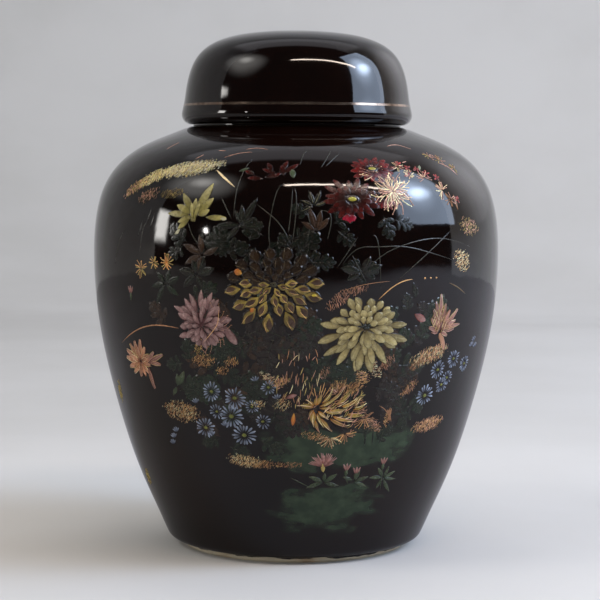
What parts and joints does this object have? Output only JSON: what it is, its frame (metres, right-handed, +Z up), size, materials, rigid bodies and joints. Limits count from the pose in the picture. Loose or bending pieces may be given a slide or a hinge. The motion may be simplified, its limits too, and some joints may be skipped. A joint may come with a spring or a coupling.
{
  "type": "ginger jar",
  "caption": "Porcelain ginger jar with a high round shoulder, a foot ring, and a domed lid that lifts off its upright neck.",
  "frame": {"origin": "centre of the circle that the foot ring stands on", "axes": "+Z up along the axis that both pieces are turned about; -Y faces the viewer of the painted front"},
  "size_m": [0.16, 0.16, 0.203],
  "materials": {
    "body_glaze": "deep oxblood brown gloss glaze with painted and gilt flowers, white inside, unglazed foot ring",
    "lid_glaze": "deep oxblood brown gloss glaze with one gilt line, white inside, unglazed lip",
    "painted_enamel": "fired overglaze enamel in cream, yellow, mauve, red, blue and green, slightly raised",
    "gilding": "burnished gold lines and flecks fired onto the glaze"
  },
  "bodies": {
    "jar": {"jar_body": "body_glaze"},
    "cover": {"lid": "lid_glaze"}
  },
  "joints": [
    {"name": "lid_lift", "type": "slide", "parent": "jar", "child": "cover", "axis": [0, 0, 1], "range_m": [0, 0.08]}
  ]
}
